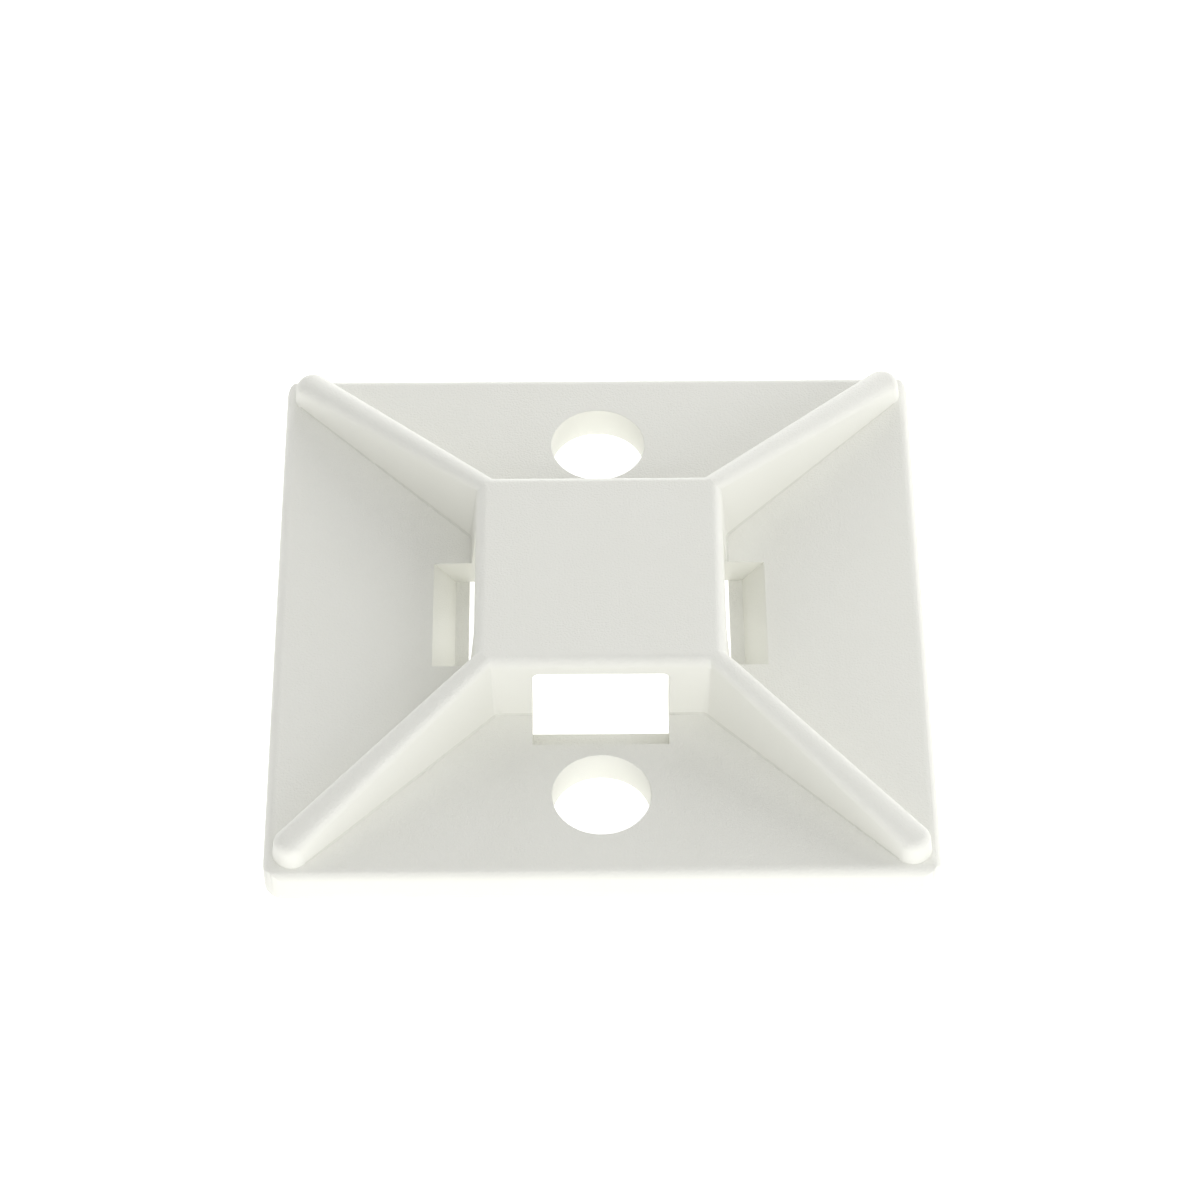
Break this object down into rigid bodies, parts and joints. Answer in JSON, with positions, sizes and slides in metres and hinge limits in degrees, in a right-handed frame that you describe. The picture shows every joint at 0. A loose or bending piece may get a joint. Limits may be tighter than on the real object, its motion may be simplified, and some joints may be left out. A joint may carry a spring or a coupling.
{
  "type": "cable tie mount",
  "caption": "Square screw-down cable tie mount: a low hollow tower with a window in each side, ramps down to the windows, diagonal ribs and screw holes.",
  "frame": {"origin": "centre of the underside of the base, on the surface the mount is fixed to", "axes": "+Z out of the mounting surface, towards the tower's flat top; the screw holes lie along Y"},
  "size_m": [0.0284, 0.0284, 0.0047],
  "materials": {
    "plastic": "warm off-white moulded plastic with a fine, even, matt texture"
  },
  "bodies": {
    "root": {"mount": "plastic"}
  },
  "joints": []
}
